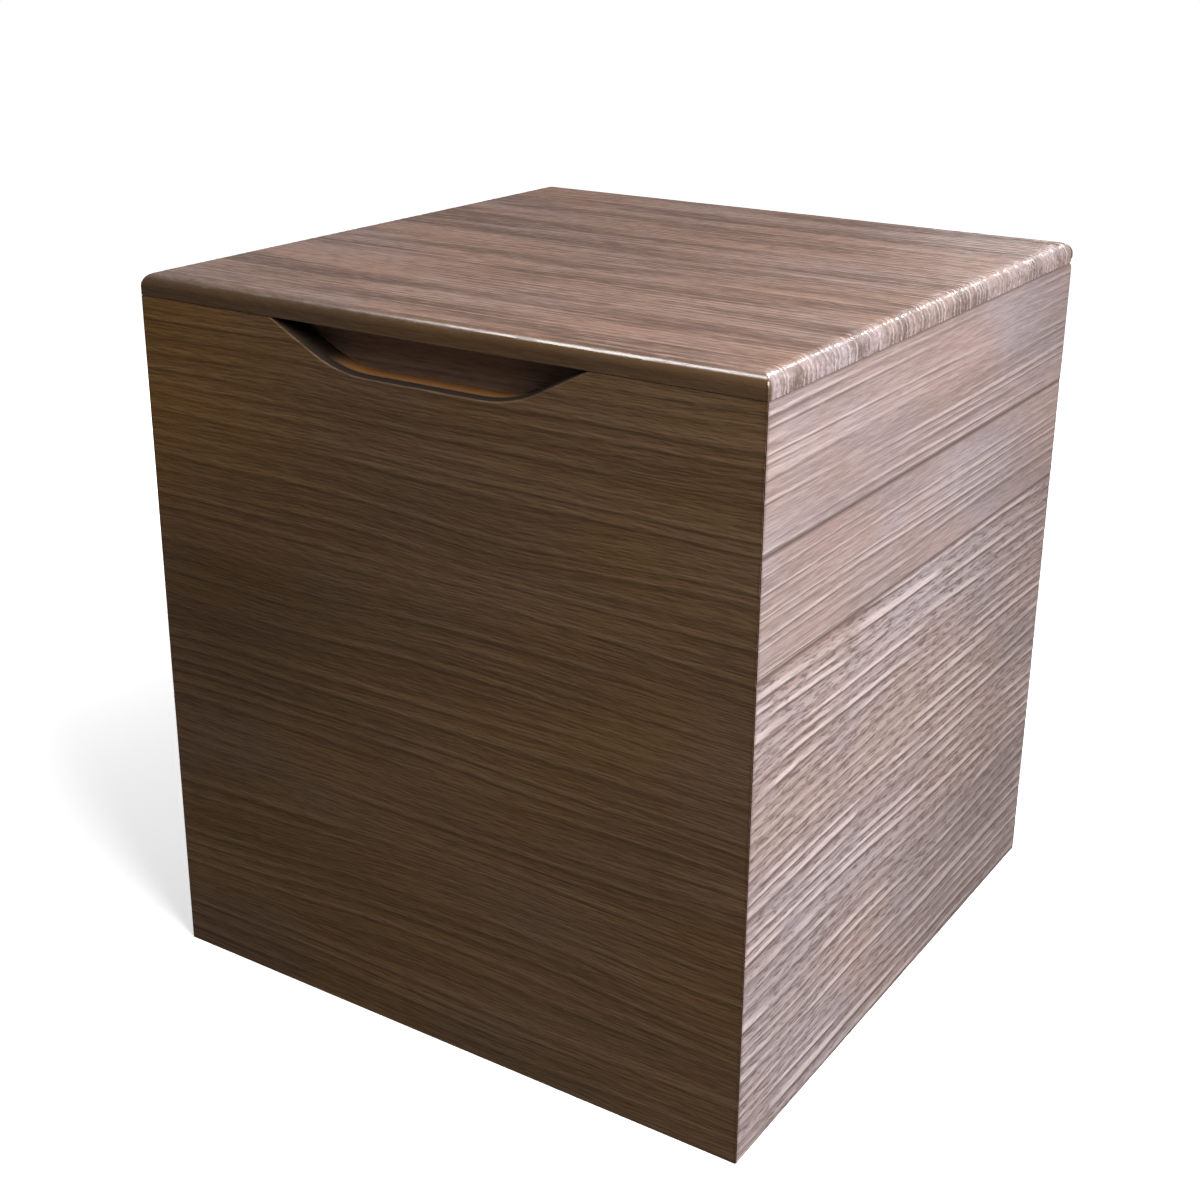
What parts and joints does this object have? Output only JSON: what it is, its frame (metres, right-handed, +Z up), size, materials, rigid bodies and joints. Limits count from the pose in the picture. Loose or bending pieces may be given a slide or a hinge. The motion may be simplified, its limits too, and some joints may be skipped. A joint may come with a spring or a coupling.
{
  "type": "rice storage box",
  "caption": "Cube-shaped dark wooden rice storage box with a flush lid hinged at the back, rounded lid edges and a long finger notch under the lid's front edge.",
  "frame": {"origin": "middle of the base, on the surface that the box stands on", "axes": "+Z up, front with the finger notch towards -Y, hinges of the lid at the back towards +Y, +X to the right seen from the front"},
  "size_m": [0.315, 0.32, 0.34],
  "materials": {
    "charred_wood": "charred, wire-brushed and waxed paulownia",
    "pale_wood": "bare planed paulownia",
    "aged_brass": "dark aged brass"
  },
  "bodies": {
    "box": {"front_panel": "charred_wood", "back_panel": "charred_wood", "right_upper_board": "charred_wood", "right_middle_board": "charred_wood", "right_lower_board": "charred_wood", "left_upper_board": "charred_wood", "left_middle_board": "charred_wood", "left_lower_board": "charred_wood", "bottom_panel": "pale_wood", "front_left_spline": "pale_wood", "front_right_spline": "pale_wood", "back_left_spline": "pale_wood", "back_right_spline": "pale_wood", "left_hinge_wall_leaf": "aged_brass", "left_hinge_pin": "aged_brass", "left_hinge_wall_left_screw": "aged_brass", "left_hinge_wall_right_screw": "aged_brass", "right_hinge_wall_leaf": "aged_brass", "right_hinge_pin": "aged_brass", "right_hinge_wall_left_screw": "aged_brass", "right_hinge_wall_right_screw": "aged_brass"},
    "lid": {"lid_board": "charred_wood", "front_rim": "charred_wood", "back_rim": "charred_wood", "left_rim": "charred_wood", "right_rim": "charred_wood", "left_hinge_lid_leaf": "aged_brass", "left_hinge_lid_left_screw": "aged_brass", "left_hinge_lid_right_screw": "aged_brass", "right_hinge_lid_leaf": "aged_brass", "right_hinge_lid_left_screw": "aged_brass", "right_hinge_lid_right_screw": "aged_brass"}
  },
  "joints": [
    {"name": "lid_swing", "type": "hinge", "parent": "box", "child": "lid", "pos_m": [0, 0.1574, 0.32985], "axis": [-1, 0, 0], "range_deg": [0, 100]}
  ]
}
